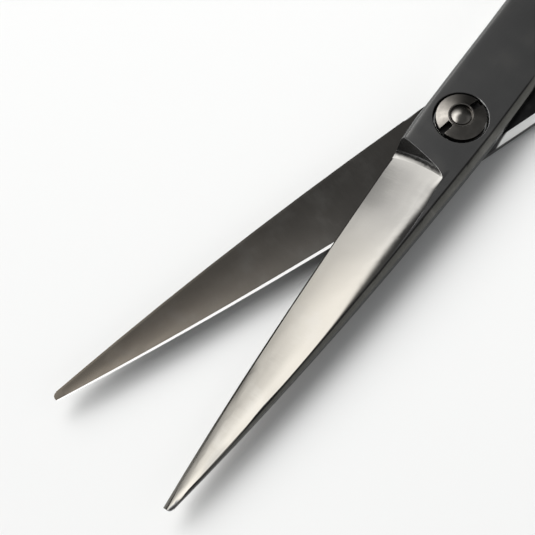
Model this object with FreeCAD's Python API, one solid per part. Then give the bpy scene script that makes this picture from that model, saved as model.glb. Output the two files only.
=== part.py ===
"""Right-handed hair cutting shears of the 6.5 inch class, one STEP file for each physical piece.

Millimetres and degrees. The shears lie open on a bench, tension nut up. The origin is where the pivot axis
meets the finger member's flat outer face, which is the face that rests on the bench. +Z points along the
pivot axis to the nut. +X points to the tips, along the bisector of the opening angle at rest.

Everything is drawn about the ride plane, between the two inner faces, and raised by the finger member's
thickness at the end. Both members are drawn closed, in one member frame: x runs from the pivot to the tip,
the cutting edge and the ring are on the -y side, the spine is on the +y side, and the inner face is at
z = 0 with the body above it. The thumb member is then turned by half the opening. The finger member is
first rolled over by 180 degrees about x, as on the real tool, whose inner faces look at each other.
"""
import FreeCAD, Part
import math
import os

V = FreeCAD.Vector
X_AXIS = V(1, 0, 0)
Y_AXIS = V(0, 1, 0)
Z_AXIS = V(0, 0, 1)
PIVOT = V(0, 0, 0)

# ---------------------------------------------------------------- driving dimensions
REACH = 72.5                # pivot axis to blade tip
REST_OPENING = 18.14        # angle between the two blades at rest
FACE_GAP = 0.01             # each inner face stands this far off the ride plane

THICKNESS = 3.4             # ricasso and shank
TIP_THICKNESS = 0.56
HEEL_HALF = 5.72            # centre line to cutting edge, at the pivot
SPINE_HALF = 5.95           # centre line to spine, at the pivot
TIP_HALF = 0.63             # centre line to either edge, at the tip
TIP_RADIUS = 0.72           # rounded spine corner of the tip

HEEL = 6.0                  # the blade and the shank are joined this far ahead of the pivot
LEVEL_END = 12.0            # the outer face and the bevel stay level up to here
PLUNGE_ARC = ((7.55, -9.0), (8.08, -1.5), (10.9, 7.0))     # upper edge of the plunge wall, in plan
PLUNGE_LEAN = 26.0          # lean of the plunge wall, degrees from upright
PLUNGE_FILLET = 1.5         # between the plunge wall and the bevel
WHEEL_DIP = 0.03            # how far the wheel's face would cut below the bevel
BEVEL_CROWN = 0.16          # convex height of the bevel, at its widest
BEVEL_EASE = 0.19           # how much the bevel flattens out into the outer face
BEVEL_EASE_AT = 22.0        # where it flattens out most, ahead of the pivot
BEVEL_EASE_SPAN = 9.0
BEVEL_ROUND = 0.22          # how much the bevel steepens towards the cutting edge at the tip
STRIP = 0.10                # flat left between the bevel and the spine chamfer
STRIP_TIP = 0.02            # the same at the tip
STRIP_HEEL = 1.20           # extra width of that flat next to the plunge
STRIP_FADE = 5.5            # length over which the extra width fades
EDGE_ROLL_HEEL = 0.12       # width of the steeper band along the cutting edge
EDGE_ROLL_TIP = 0.46
EDGE_ROLL_ANGLE = 34.0
EDGE_LAND = 0.03            # thickness left at the cutting edge

HOLLOW_DEPTH = 0.09         # hollow ground into the inner face
HONE_WIDTH = 0.50           # flat honed line along the cutting edge
HONE_WIDTH_TIP = 0.26
HOLLOW_START = 6.5
HOLLOW_END = 71.0

COUNTERBORE_R = 4.13
COUNTERBORE_FLOOR = 1.0     # height of its floor above the inner face
COUNTERBORE_CHAMFER = 0.12
JOURNAL_R = 2.15            # pivot stud where the bush turns on it
RUNNING = 0.05              # radial clearance of a running fit
LOCATING = 0.02             # radial clearance of a fit that only locates
BUSH_R = 2.75
BUSH_FLANGE_R = 3.95
BUSH_FLANGE = 0.2
RACE = 0.2                  # thickness of each ball race
RACE_R = 3.95
RACE_BORE = 2.3
BALL_R = 0.3
BALL_PITCH_R = 3.15
BALL_COUNT = 12
GROOVE = 0.03               # depth of a ball groove
CAGE = 0.26
SPRING_WIRE = 0.1           # thickness of the wave spring
SPRING_WAVE = 0.09          # half height of its waves
SPRING_LOBES = 3
CLICK_WASHER = 0.18
CLICK_RIB = 0.07            # how far the ribs of the click washer stand up
CLICK_NOTCHES = 16
THREAD_R = 1.5              # M3 thread of the stud
THREAD_FLAT = 1.15          # half width across the two flats of the thread
NUT_R = 3.8
NUT_THREAD = 1.05           # length of the nut's thread
NUT_RIM = 3.67              # height of the nut's rim above the inner face
NUT_BORE_R = 1.75
NUT_LIP_R = 1.98
NUT_LIP = 4.30              # height of the lip round the bore
NUT_CONE_TOP = 4.20
SLOT_WIDTH = 1.05
SLOT_FLOOR = 2.95
SLOT_ANGLE = -6.0           # direction of the two key slots
BUTTON_R = 1.5
BUTTON_TOP = 4.62           # height of the stud's domed end
GLIDE_R = 4.5               # plastic glide washer between the blades
GLIDE_RECESS = 0.15
STUD_HEAD_R = 3.9
STUD_HEAD = 1.0
COLLAR_R = 2.9              # keyed collar under the stud's head
COLLAR_FLAT = 2.35          # half width across the collar's flats
COLLAR = 1.0

RING_HALF_LENGTH = 14.6     # of the middle line of a finger ring
RING_HALF_WIDTH = 13.2
RING_BAND = 4.4             # width of the ring's band, seen from above
RING_HEIGHT = 4.8
CLOSED_GAP = 1.6            # from the centre line to each ring, when closed
THUMB_RING_X = -67.0        # centre of the thumb ring
FINGER_RING_X = -78.0       # centre of the finger ring, set back for the fingers' reach
INSERT_BAND = 3.0           # soft liner of a ring
INSERT_HEIGHT = 6.4
INSERT_SHIFT = 1.9          # from the ring's middle line to the liner's

REST_ANGLE = 200.0          # where the finger rest leaves the finger ring
REST_HOLE_R = 1.25
REST_HOLE_DEPTH = 3.2
REST_BOSS_R = 2.2
REST_BOSS = 0.5
REST_LENGTH = 19.0
REST_BEND = 52.0            # how far the finger rest curves round

BUMPER_X = -56.0
BUMPER_R = 2.2
BUMPER_SEAT = 0.5           # depth of the flat seat cut for the bumper
BUMPER_CONTACT = 0.02       # gap left when the shears are closed
BUMPER_PIN_R = 0.9
BUMPER_PIN_IN_SHANK = 3.4
BUMPER_PIN_IN_PAD = 1.6

ROUND_SHARE = 0.5 - 0.2071  # where a quarter ellipse passes, between its corner and its two ends


# ---------------------------------------------------------------- outline of a blade
def narrowing(x, straight, power):
    """How much of its width a side has lost at the share x of the reach."""
    return straight * x + (1 - straight) * x ** power


def cutting_edge(u):
    """Distance from the centre line to the cutting edge."""
    return HEEL_HALF - (HEEL_HALF - TIP_HALF) * narrowing(u / REACH, 0.66, 3.0)


def spine(u):
    """Distance from the centre line to the spine."""
    return SPINE_HALF - (SPINE_HALF - TIP_HALF) * narrowing(u / REACH, 0.37, 2.18)


def top(u):
    """Height of the outer face: level past the plunge, then falling evenly to the tip."""
    x = max(u - LEVEL_END, 0) / (REACH - LEVEL_END)
    return THICKNESS - (THICKNESS - TIP_THICKNESS) * 1.07 * x * x / (x + 0.07)


def spine_chamfer(height):
    """Reach of the chamfer along the spine, across and down."""
    return 0.24 * height, 0.41 * height


def upper_edge(height):
    """Reach of the rounding along the cutting side of the outer face, across and down."""
    return 0.16 * height, 0.34 * height


def bevel_top(u):
    """Distance from the centre line to the line where the bevel leaves the outer face."""
    ahead = max(u, LEVEL_END)
    strip = STRIP + (STRIP_TIP - STRIP) * (ahead / REACH) ** 2
    strip += STRIP_HEEL * math.exp((LEVEL_END - ahead) / STRIP_FADE)
    return spine(ahead) - spine_chamfer(top(ahead))[0] - strip


def edge_roll(u):
    """Width of the steeper band along the cutting edge."""
    return EDGE_ROLL_HEEL + (EDGE_ROLL_TIP - EDGE_ROLL_HEEL) * (u / REACH) ** 2


# ---------------------------------------------------------------- sections and small helpers
def corner_arc(start, end, corner, roundness):
    """The arc that rounds a corner: nearly its chord at roundness 0, a quarter ellipse at 1."""
    share = 0.49 + (ROUND_SHARE - 0.49) * roundness
    middle = corner + (start - corner) * share + (end - corner) * share
    return Part.Arc(start, middle, end).toShape()


def section(u, y_low, y_high, z_low, z_high, corners):
    """A closed outline in the plane x = u: a rectangle with cut corners.

    A corner is (reach across, reach along z, roundness), or None where it stays sharp. They list the edge
    side below, the spine side below, the spine side above and the edge side above.
    """
    places = [(y_low, z_low), (y_high, z_low), (y_high, z_high), (y_low, z_high)]
    signs = [(1, 1), (-1, 1), (-1, -1), (1, -1)]
    edges = []
    ends = []
    for index, ((y, z), (sy, sz), cut) in enumerate(zip(places, signs, corners)):
        if cut is None:
            ends.append((V(u, y, z), V(u, y, z), None))
            continue
        flat_end = V(u, y + sy * cut[0], z)
        wall_end = V(u, y, z + sz * cut[1])
        first, second = (wall_end, flat_end) if index % 2 == 0 else (flat_end, wall_end)
        ends.append((first, second, corner_arc(first, second, V(u, y, z), cut[2])))
    for index in range(4):
        if ends[index][2] is not None:
            edges.append(ends[index][2])
        edges.append(Part.makeLine(ends[index][1], ends[(index + 1) % 4][0]))
    return Part.Wire(edges)


def loft(wires):
    """A smooth solid through closed sections."""
    return Part.makeLoft(wires, True, False)


def spread(start, end, step):
    """Even places from start to end, about one step apart."""
    count = math.ceil(abs(end - start) / step)
    return [start + (end - start) * index / count for index in range(count + 1)]


def flow(stations, u):
    """Values at u on smooth curves through the stations, which never overshoot them.

    A station is (place, value, value, ...). The curves are cubics whose slope at a station is the harmonic
    mean of the slopes on its two sides, or level where those two have opposite signs.
    """
    index = 0
    while index < len(stations) - 2 and (stations[index + 1][0] - u) * (stations[0][0] - u) > 0:
        index += 1
    before, after = stations[index], stations[index + 1]
    span = after[0] - before[0]
    t = (u - before[0]) / span
    values = []
    for column in range(1, len(before)):
        rises = []
        for at in (index - 1, index, index + 1):
            if 0 <= at < len(stations) - 1:
                first, second = stations[at], stations[at + 1]
                rises.append((second[column] - first[column]) / (second[0] - first[0]))
            else:
                rises.append(0.0)
        slopes = []
        for left, right in zip(rises[:2], rises[1:]):
            slopes.append(2 * left * right / (left + right) if left * right > 0 else 0.0)
        start, end = before[column], after[column]
        values.append(
            (1 + 2 * t) * (1 - t) ** 2 * start + t * (1 - t) ** 2 * span * slopes[0]
            + t * t * (3 - 2 * t) * end - t * t * (1 - t) * span * slopes[1]
        )
    return values


def disc(radius, bottom, height, bore=0.0):
    """A flat ring or disc on the pivot axis."""
    solid = Part.makeCylinder(radius, height, V(0, 0, bottom), Z_AXIS)
    if bore > 0:
        solid = solid.cut(Part.makeCylinder(bore, height, V(0, 0, bottom), Z_AXIS))
    return solid


def turned(points):
    """A solid turned about the pivot axis from a closed profile of (radius, height) points."""
    wire = Part.makePolygon([V(r, 0, z) for r, z in points + points[:1]])
    return Part.Face(wire).revolve(PIVOT, Z_AXIS, 360)


def edges_near(shape, test):
    """The edges of a shape whose middle passes a test."""
    found = []
    for edge in shape.Edges:
        middle = edge.valueAt((edge.FirstParameter + edge.LastParameter) / 2)
        if test(middle):
            found.append(edge)
    return found


# ---------------------------------------------------------------- blade, shank and handle of a member
def blade_envelope():
    """The blade before grinding, from just ahead of the pivot to the tip."""
    wires = []
    for u in spread(HEEL, REACH, 3.2):
        height = top(u)
        corners = (None, None, (*spine_chamfer(height), 0.3), (*upper_edge(height), 1.0))
        wires.append(section(u, -cutting_edge(u), spine(u), FACE_GAP, height, corners))
    return loft(wires)


def bevel_ends(u):
    """Upper and lower end of the bevel at u, the lower one where the steeper band begins."""
    ahead = max(u, LEVEL_END)
    roll = edge_roll(ahead)
    rise = EDGE_LAND + roll * math.tan(math.radians(EDGE_ROLL_ANGLE))
    return V(u, bevel_top(u), top(u)), V(u, roll - cutting_edge(ahead), rise)


def bevel_profile(u):
    """The bevel's convex curve across the blade at u, from 1.5 mm beyond its upper end to its lower end."""
    high, low = bevel_ends(u)
    chord = (high - low).Length
    convex = min(max(u - LEVEL_END, 0) / 15, 1)
    crown = 0.02 + (BEVEL_CROWN - 0.02) * convex * chord / 9.0
    ease = BEVEL_EASE * math.exp(-((u - BEVEL_EASE_AT) / BEVEL_EASE_SPAN) ** 2)
    steepen = BEVEL_ROUND * (u / REACH) ** 3
    points = []
    for n in range(15):
        t = n / 14
        rise = 4 * crown * t * (1 - t) + chord * (ease * t ** 5 * (1 - t) + steepen * t * (1 - t) ** 3)
        points.append(low + (high - low) * t + V(0, 0, rise))
    beyond = points[-1] - points[-2]
    points.append(points[-1] + beyond * (1.5 / beyond.Length))
    points.reverse()
    curve = Part.BSplineCurve()
    curve.interpolate(points)
    return curve.toShape(), points[0], points[-1]


def grinding_space():
    """Everything above the bevel, from behind the plunge to past the tip."""
    steep = math.tan(math.radians(EDGE_ROLL_ANGLE))
    ceiling = THICKNESS + 3
    wires = []
    for u in (4, 8, LEVEL_END, 16, 21, 28, 37, 47, 57, 66, 70, REACH + 2):
        curve, past, low = bevel_profile(u)
        outside = V(u, low.y - 1.0, low.z - steep)
        far = V(u, -HEEL_HALF - 3, outside.z)
        far_top = V(u, far.y, ceiling)
        near_top = V(u, past.y, ceiling)
        corners = [low, outside, far, far_top, near_top, past]
        lines = [Part.makeLine(first, second) for first, second in zip(corners, corners[1:])]
        wires.append(Part.Wire([curve] + lines))
    return loft(wires)


def wheel_space():
    """Where the grinding wheel reaches: its rounded rim leaves the plunge, and its face lies on the bevel."""
    high, low = bevel_ends(LEVEL_END)
    slope = math.atan2(high.z - low.z, high.y - low.y)
    floor = low.z * math.cos(slope) - low.y * math.sin(slope) - WHEEL_DIP
    lean = math.tan(math.radians(PLUNGE_LEAN))
    front = LEVEL_END - 0.5
    rim = []
    for x, y in PLUNGE_ARC:
        along = y * math.cos(slope) + THICKNESS * math.sin(slope)
        above = THICKNESS * math.cos(slope) - y * math.sin(slope) - floor
        rim.append(V(x + lean * above, along, floor))
    ahead = [V(front + 3, rim[0].y, floor), V(front + 3, rim[2].y, floor)]
    plan = Part.Face(Part.Wire([
        Part.Arc(*rim).toShape(),
        Part.makeLine(rim[2], ahead[1]),
        Part.makeLine(ahead[1], ahead[0]),
        Part.makeLine(ahead[0], rim[0]),
    ]))
    height = THICKNESS + 6
    wheel = plan.extrude(V(-lean * height, 0, height))
    foot = edges_near(wheel, lambda p: abs(p.z - floor) < 0.01 and p.x < front)
    wheel = wheel.makeFillet(PLUNGE_FILLET, foot)
    wheel.rotate(PIVOT, X_AXIS, math.degrees(slope))
    return wheel.fuse(Part.makeBox(REACH, 30, 20, V(front, -15, -5)))


def ground_blade():
    return blade_envelope().cut(grinding_space().common(wheel_space()))


def inner_hollow():
    """The shallow hollow of the inner face, which leaves the honed line along the cutting edge."""
    wires = []
    for u in (HOLLOW_START, 12, 18, 28, 40, 52, 63, HOLLOW_END):
        hone = HONE_WIDTH + (HONE_WIDTH_TIP - HONE_WIDTH) * (u / REACH) ** 2
        along = (u - HOLLOW_START) / (HOLLOW_END - HOLLOW_START)
        depth = 0.01 + (HOLLOW_DEPTH - 0.01) * math.sin(math.pi * along)
        left = V(u, hone - cutting_edge(u), FACE_GAP)
        right = V(u, spine(u) - 0.3, FACE_GAP)
        middle = V(u, (left.y + right.y) / 2, FACE_GAP + depth)
        wires.append(Part.Wire([
            Part.Arc(left, middle, right).toShape(),
            Part.makeLine(right, V(u, right.y, -1)),
            Part.makeLine(V(u, right.y, -1), V(u, left.y, -1)),
            Part.makeLine(V(u, left.y, -1), left),
        ]))
    return loft(wires)


def tip_rounding():
    """What is taken off the spine corner of the tip."""
    centre = V(REACH - TIP_RADIUS + 0.02, -0.07, -1)
    block = Part.makeBox(3, 3, 6, V(centre.x, centre.y, -1))
    return block.cut(Part.makeCylinder(TIP_RADIUS, 6, centre, Z_AXIS))


def handle(ring_x):
    """Shank and stem, from the pivot to the finger ring whose centre is at ring_x.

    Behind the crossing the stem drops from above the ride plane to lie level with the other one.
    """
    back = ring_x - THUMB_RING_X
    across, down = spine_chamfer(THICKNESS)
    sharp = (0.06, 0.06, 0.06, 0.06, across, down, *upper_edge(THICKNESS))
    eased = (0.77, 1.50, 0.15, 0.15, across, down, *upper_edge(THICKNESS))
    waist = (1.10, 1.30, 0.60, 0.60, 1.1, 1.4, 0.80, 0.9)
    soft = (1.70, 1.50, 1.50, 1.40, 1.7, 1.6, 1.60, 1.5)
    full = (1.80, 1.90, 1.80, 1.90, 1.8, 1.9, 1.80, 1.9)
    level = (FACE_GAP, THICKNESS)
    middle = (0.03 - RING_HEIGHT / 2, RING_HEIGHT / 2 - 0.03)
    ring_side = -CLOSED_GAP - RING_BAND
    # place, edge side, spine side, bottom, top, eight corner reaches, roundness
    stations = [
        (HEEL, -cutting_edge(HEEL), spine(HEEL), *level, *sharp, 0.3),
        (HEEL / 2, -5.54, spine(HEEL / 2), *level, *sharp, 0.3),
        (-1, -5.55, 5.96, *level, *eased, 0.3),
        (-8, -5.59, 5.97, *level, *eased, 0.3),
        (-15, -5.60, 5.85, *level, *eased, 0.3),
        (-21, -5.66, 5.10, *level, *eased, 0.4),
        (-27, -5.62, 3.55, *level, *waist, 0.6),
        (-33, -5.60, 1.50, *level, *waist, 0.8),
        (-37, -5.80, 0.10, *level, *soft, 0.9),
        (-42 + 0.4 * back, -6.5, -0.8, -0.6, 3.35, *soft, 1.0),
        (-47 + 0.7 * back, -7.3, -1.4, -1.8, 2.80, *full, 1.0),
        (-52 + back, -7.8, -CLOSED_GAP, *middle, *full, 1.0),
        (-57 + back, -7.4, -CLOSED_GAP, *middle, *full, 1.0),
        (-62 + back, -6.5, -CLOSED_GAP - 0.02, *middle, *full, 1.0),
        (-67 + back, ring_side + 0.04, -CLOSED_GAP - 0.04, -2.37, 2.37, *full, 1.0),
    ]
    wires = []
    for u in spread(HEEL, ring_x, 2.4):
        values = flow(stations, u)
        corners = [(values[at], values[at + 1], values[12]) for at in (4, 6, 8)]
        corners.append((values[10], values[11], 1.0))
        wires.append(section(u, *values[:4], corners))
    return loft(wires)


def ellipse(ring_x, half_length, half_width):
    """An ellipse in the ring's middle plane."""
    centre = V(ring_x, ring_y(), 0)
    return Part.Wire(Part.Ellipse(centre + V(half_length, 0, 0), centre + V(0, half_width, 0), centre).toShape())


def ring_y():
    """How far to the side of the centre line a ring's centre is."""
    return -(CLOSED_GAP + RING_HALF_WIDTH + RING_BAND / 2)


def band(ring_x, shift, width, height, corner):
    """A rounded band that follows a finger ring, moved inwards from its middle line by shift."""
    path = ellipse(ring_x, RING_HALF_LENGTH - shift, RING_HALF_WIDTH - shift)
    start = V(ring_x + RING_HALF_LENGTH - shift, ring_y(), 0)
    profile = section(0, -width / 2, width / 2, -height / 2, height / 2, (corner,) * 4)
    profile.rotate(PIVOT, Z_AXIS, 90)
    profile.translate(start)
    swept = path.makePipeShell([profile], True, True)
    return swept if swept.ShapeType == "Solid" else Part.Solid(Part.Shell(swept.Faces))


def ring(ring_x):
    return band(ring_x, 0, RING_BAND, RING_HEIGHT, (1.8, 1.9, 1.0))


def ring_insert(ring_x):
    """Soft liner that grips the inside of a finger ring with a lip on each face."""
    liner = band(ring_x, INSERT_SHIFT, INSERT_BAND, INSERT_HEIGHT, (1.3, 1.6, 1.0))
    return liner.cut(ring(ring_x)).cut(handle(ring_x))


def member(ring_x):
    """One blade with its shank, stem and ring, in the member frame, before its own holes."""
    blade = ground_blade().cut(inner_hollow()).cut(tip_rounding())
    body = blade.fuse(handle(ring_x)).fuse(ring(ring_x))
    return body.cut(disc(GLIDE_R + RUNNING, -1, 1 + FACE_GAP + GLIDE_RECESS))


# ---------------------------------------------------------------- placing the two members
def in_thumb(shape):
    """Turns a piece from the member frame to the thumb member's place."""
    shape.rotate(PIVOT, Z_AXIS, REST_OPENING / 2)
    return shape


def in_finger(shape):
    """Rolls and turns a piece from the member frame to the finger member's place."""
    shape.rotate(PIVOT, X_AXIS, 180)
    shape.rotate(PIVOT, Z_AXIS, -REST_OPENING / 2)
    return shape


def thumb_blade():
    body = member(THUMB_RING_X)
    body = body.cut(disc(COUNTERBORE_R, COUNTERBORE_FLOOR, THICKNESS))
    mouth = turned([
        (0, THICKNESS - COUNTERBORE_CHAMFER),
        (COUNTERBORE_R, THICKNESS - COUNTERBORE_CHAMFER),
        (COUNTERBORE_R + 2 * COUNTERBORE_CHAMFER, THICKNESS + COUNTERBORE_CHAMFER),
        (0, THICKNESS + COUNTERBORE_CHAMFER),
    ])
    return in_thumb(body.cut(mouth).cut(disc(BUSH_R, -1, THICKNESS)))


def collar(clearance, bottom, height):
    """The stud's collar, or the hole it keys into, with two flats."""
    half = COLLAR_FLAT + clearance
    sides = Part.makeBox(2 * COLLAR_R + 2, 2 * half, height, V(-COLLAR_R - 1, -half, bottom))
    return disc(COLLAR_R + clearance, bottom, height).common(sides)


def finger_blade():
    body = member(FINGER_RING_X)
    head_seat = THICKNESS - STUD_HEAD
    body = body.cut(disc(STUD_HEAD_R + LOCATING, head_seat, THICKNESS))
    body = body.cut(collar(LOCATING, head_seat - COLLAR, COLLAR + 1))
    body = body.cut(disc(JOURNAL_R + RUNNING, -1, THICKNESS))
    body = body.fuse(rest_boss())
    body = body.cut(rest_rod(REST_HOLE_R, -REST_HOLE_DEPTH, 2 * REST_BOSS))
    seat = V(BUMPER_X, -CLOSED_GAP - BUMPER_SEAT, 0)
    body = body.cut(Part.makeCylinder(BUMPER_R + 0.1, 3, seat, Y_AXIS))
    body = body.cut(Part.makeCylinder(BUMPER_PIN_R, BUMPER_PIN_IN_SHANK + 1, seat + V(0, 1, 0), -Y_AXIS))
    return in_finger(body)


# ---------------------------------------------------------------- pivot, from the far head up to the nut
BUSH_TOP = COUNTERBORE_FLOOR + BUSH_FLANGE
LOWER_RACE_TOP = BUSH_TOP + RACE
BALL_HEIGHT = LOWER_RACE_TOP - GROOVE + BALL_R
UPPER_RACE_BOTTOM = BALL_HEIGHT + BALL_R - GROOVE
UPPER_RACE_TOP = UPPER_RACE_BOTTOM + RACE
CLICK_BOTTOM = UPPER_RACE_TOP + 2 * SPRING_WAVE + SPRING_WIRE
CLICK_TOP = CLICK_BOTTOM + CLICK_WASHER
NUT_BOTTOM = CLICK_TOP + 0.01


def threaded_end(clearance, bottom, height):
    """The stud's thread with its two flats, or the hole that fits over it."""
    half = THREAD_FLAT + clearance
    sides = Part.makeBox(2 * half, 4 * THREAD_R, height, V(-half, -2 * THREAD_R, bottom))
    return disc(THREAD_R + clearance, bottom, height).common(sides)


def pivot_stud():
    """Flush head on the far face, keyed collar, journal, flatted thread and a domed end inside the nut."""
    head = turned([
        (0, -THICKNESS),
        (STUD_HEAD_R - 0.25, -THICKNESS),
        (STUD_HEAD_R, -THICKNESS + 0.15),
        (STUD_HEAD_R, STUD_HEAD - THICKNESS),
        (0, STUD_HEAD - THICKNESS),
    ])
    key = collar(0, STUD_HEAD - THICKNESS, COLLAR)
    key.rotate(PIVOT, Z_AXIS, -REST_OPENING / 2)
    journal_bottom = STUD_HEAD - THICKNESS + COLLAR
    journal = disc(JOURNAL_R, journal_bottom, UPPER_RACE_TOP - journal_bottom)
    shoulder = NUT_CONE_TOP - 0.08
    thread = threaded_end(0, UPPER_RACE_TOP, NUT_BOTTOM + NUT_THREAD - UPPER_RACE_TOP)
    button = disc(BUTTON_R, NUT_BOTTOM + NUT_THREAD, shoulder - NUT_BOTTOM - NUT_THREAD)
    rim = V(BUTTON_R, 0, shoulder)
    apex = V(0, 0, BUTTON_TOP)
    crown = Part.Arc(rim, V(0.56 * BUTTON_R, 0, shoulder + 0.66 * (BUTTON_TOP - shoulder)), apex).toShape()
    foot = V(0, 0, shoulder)
    profile = Part.Face(Part.Wire([crown, Part.makeLine(apex, foot), Part.makeLine(foot, rim)]))
    dome = profile.revolve(PIVOT, Z_AXIS, 360)
    return head.multiFuse([key, journal, thread, button, dome]).removeSplitter()


def glide_washer():
    bottom = -FACE_GAP - GLIDE_RECESS
    return disc(GLIDE_R, bottom, 2 * (FACE_GAP + GLIDE_RECESS) - 0.01, JOURNAL_R + RUNNING)


def pivot_bush():
    """Flanged plain bush, pressed into the thumb member."""
    bottom = FACE_GAP + GLIDE_RECESS + 0.01
    barrel = disc(BUSH_R, bottom, COUNTERBORE_FLOOR - bottom)
    flange = disc(BUSH_FLANGE_R, COUNTERBORE_FLOOR, BUSH_FLANGE)
    return barrel.fuse(flange).cut(disc(JOURNAL_R + RUNNING, -1, THICKNESS)).removeSplitter()


def race(bottom):
    """A flat race with a groove in the face that looks at the balls."""
    groove = Part.makeTorus(BALL_PITCH_R, BALL_R + 0.01, V(0, 0, BALL_HEIGHT), Z_AXIS)
    return disc(RACE_R, bottom, RACE, RACE_BORE).cut(groove)


def ball_places():
    """Centres of the balls, evenly round the pivot."""
    step = 2 * math.pi / BALL_COUNT
    return [
        V(BALL_PITCH_R * math.cos(n * step), BALL_PITCH_R * math.sin(n * step), BALL_HEIGHT)
        for n in range(BALL_COUNT)
    ]


def bearing_balls():
    return Part.makeCompound([Part.makeSphere(BALL_R, place) for place in ball_places()])


def ball_cage():
    plate = disc(RACE_R - 0.1, BALL_HEIGHT - CAGE / 2, CAGE, RACE_BORE + 0.15)
    for place in ball_places():
        plate = plate.cut(Part.makeCylinder(BALL_R + 0.02, 1, place - Z_AXIS * 0.5, Z_AXIS))
    return plate


def wave_spring():
    """A flat ring bent into waves that touch the race below and the click washer above."""
    middle = UPPER_RACE_TOP + SPRING_WAVE + SPRING_WIRE / 2
    loops = {}
    for radius in (RACE_BORE + 0.05, RACE_R - 0.2):
        for side in (-0.5, 0.5):
            points = []
            for n in range(8 * SPRING_LOBES):
                angle = 2 * math.pi * n / (8 * SPRING_LOBES)
                height = middle + side * SPRING_WIRE + SPRING_WAVE * math.cos(SPRING_LOBES * angle)
                points.append(V(radius * math.cos(angle), radius * math.sin(angle), height))
            curve = Part.BSplineCurve()
            curve.interpolate(points, PeriodicFlag=True)
            loops[(radius > RACE_BORE + 1, side > 0)] = curve.toShape()
    order = [(False, False), (True, False), (True, True), (False, True)]
    faces = []
    for first, second in zip(order, order[1:] + order[:1]):
        faces.append(Part.makeRuledSurface(loops[first], loops[second]))
    shell = Part.makeShell([face for group in faces for face in group.Faces])
    solid = Part.Solid(shell)
    if solid.Volume < 0:
        solid.reverse()
    return solid


def click_washer():
    """Keyed to the stud's flats. Two low ribs on top ride over the notches under the nut."""
    plate = disc(RACE_R - 0.2, CLICK_BOTTOM, CLICK_WASHER - CLICK_RIB)
    for side in (-1, 1):
        rib = Part.makeBox(1.3, 0.3, CLICK_WASHER, V(2.1, -0.15, CLICK_BOTTOM))
        rib.rotate(PIVOT, Z_AXIS, 90 + 90 * side)
        plate = plate.fuse(rib)
    return plate.cut(threaded_end(0.03, CLICK_BOTTOM - 1, 3)).removeSplitter()


def tension_nut():
    """Shallow cone with a raised lip round the stud's end, two key slots, and click notches underneath."""
    thread_top = NUT_BOTTOM + NUT_THREAD
    nut = turned([
        (THREAD_R + 0.03, NUT_BOTTOM),
        (NUT_R, NUT_BOTTOM),
        (NUT_R, NUT_RIM - 0.07),
        (NUT_R - 0.06, NUT_RIM),
        (NUT_LIP_R, NUT_CONE_TOP),
        (NUT_LIP_R - 0.04, NUT_LIP),
        (NUT_BORE_R, NUT_LIP),
        (NUT_BORE_R, thread_top),
        (THREAD_R + 0.03, thread_top),
    ])
    for side in (0, 180):
        slot = Part.makeBox(NUT_R, SLOT_WIDTH, 2, V(NUT_LIP_R + 0.06, -SLOT_WIDTH / 2, SLOT_FLOOR))
        slot.rotate(PIVOT, Z_AXIS, SLOT_ANGLE + side)
        nut = nut.cut(slot)
    for n in range(CLICK_NOTCHES):
        notch = Part.makeBox(NUT_R, 0.4, 0.2, V(2.0, -0.2, NUT_BOTTOM - 0.1))
        notch.rotate(PIVOT, Z_AXIS, 360 * (n + 0.5) / CLICK_NOTCHES)
        nut = nut.cut(notch)
    return nut


# ---------------------------------------------------------------- finger rest and closing bumper
def rest_frame():
    """Point on the finger ring's outer side where the rest leaves it, and the outward direction, in degrees."""
    angle = math.radians(REST_ANGLE)
    x = RING_HALF_LENGTH * math.cos(angle)
    y = RING_HALF_WIDTH * math.sin(angle)
    outward = math.atan2(y / RING_HALF_WIDTH ** 2, x / RING_HALF_LENGTH ** 2)
    middle = V(FINGER_RING_X + x, ring_y() + y, 0)
    return middle + V(math.cos(outward), math.sin(outward), 0) * (RING_BAND / 2), math.degrees(outward)


def rest_rod(radius, start, end):
    """A rod along the rest's screw axis, measured outwards from the ring's outer side."""
    point, outward = rest_frame()
    direction = V(math.cos(math.radians(outward)), math.sin(math.radians(outward)), 0)
    return Part.makeCylinder(radius, end - start, point + direction * start, direction)


def rest_boss():
    return rest_rod(REST_BOSS_R, -RING_BAND / 2, REST_BOSS)


def finger_rest():
    """Curved rest for the little finger, with a plain screw end that goes into the ring."""
    point, outward = rest_frame()
    radius = REST_LENGTH / math.radians(REST_BEND)
    # share of the length, thickness radius
    shape = [(0, REST_BOSS_R), (0.12, 1.7), (0.35, 1.45), (0.65, 1.6), (0.88, 2.0), (0.96, 1.6), (1.0, 0.6)]
    wires = []
    for share in spread(0, 1, 0.06):
        thickness = flow(shape, share)[0]
        wire = Part.Wire(Part.Circle(PIVOT, X_AXIS, thickness).toShape())
        turn = math.radians(REST_BEND * share)
        wire.rotate(PIVOT, Z_AXIS, REST_BEND * share)
        wire.translate(V(radius * math.sin(turn), radius * (1 - math.cos(turn)), 0))
        wires.append(wire)
    arm = loft(wires)
    arm.translate(V(REST_BOSS, 0, 0))
    arm.rotate(PIVOT, Z_AXIS, outward)
    arm.translate(point)
    screw = rest_rod(REST_HOLE_R - LOCATING, 0.1 - REST_HOLE_DEPTH, REST_BOSS + 0.5)
    return in_finger(arm.fuse(screw))


def bumper_pin():
    start = V(BUMPER_X, -CLOSED_GAP - BUMPER_SEAT - BUMPER_PIN_IN_SHANK + 0.1, 0)
    length = BUMPER_PIN_IN_SHANK - 0.1 + BUMPER_PIN_IN_PAD
    return in_finger(Part.makeCylinder(BUMPER_PIN_R - LOCATING, length, start, Y_AXIS))


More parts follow.
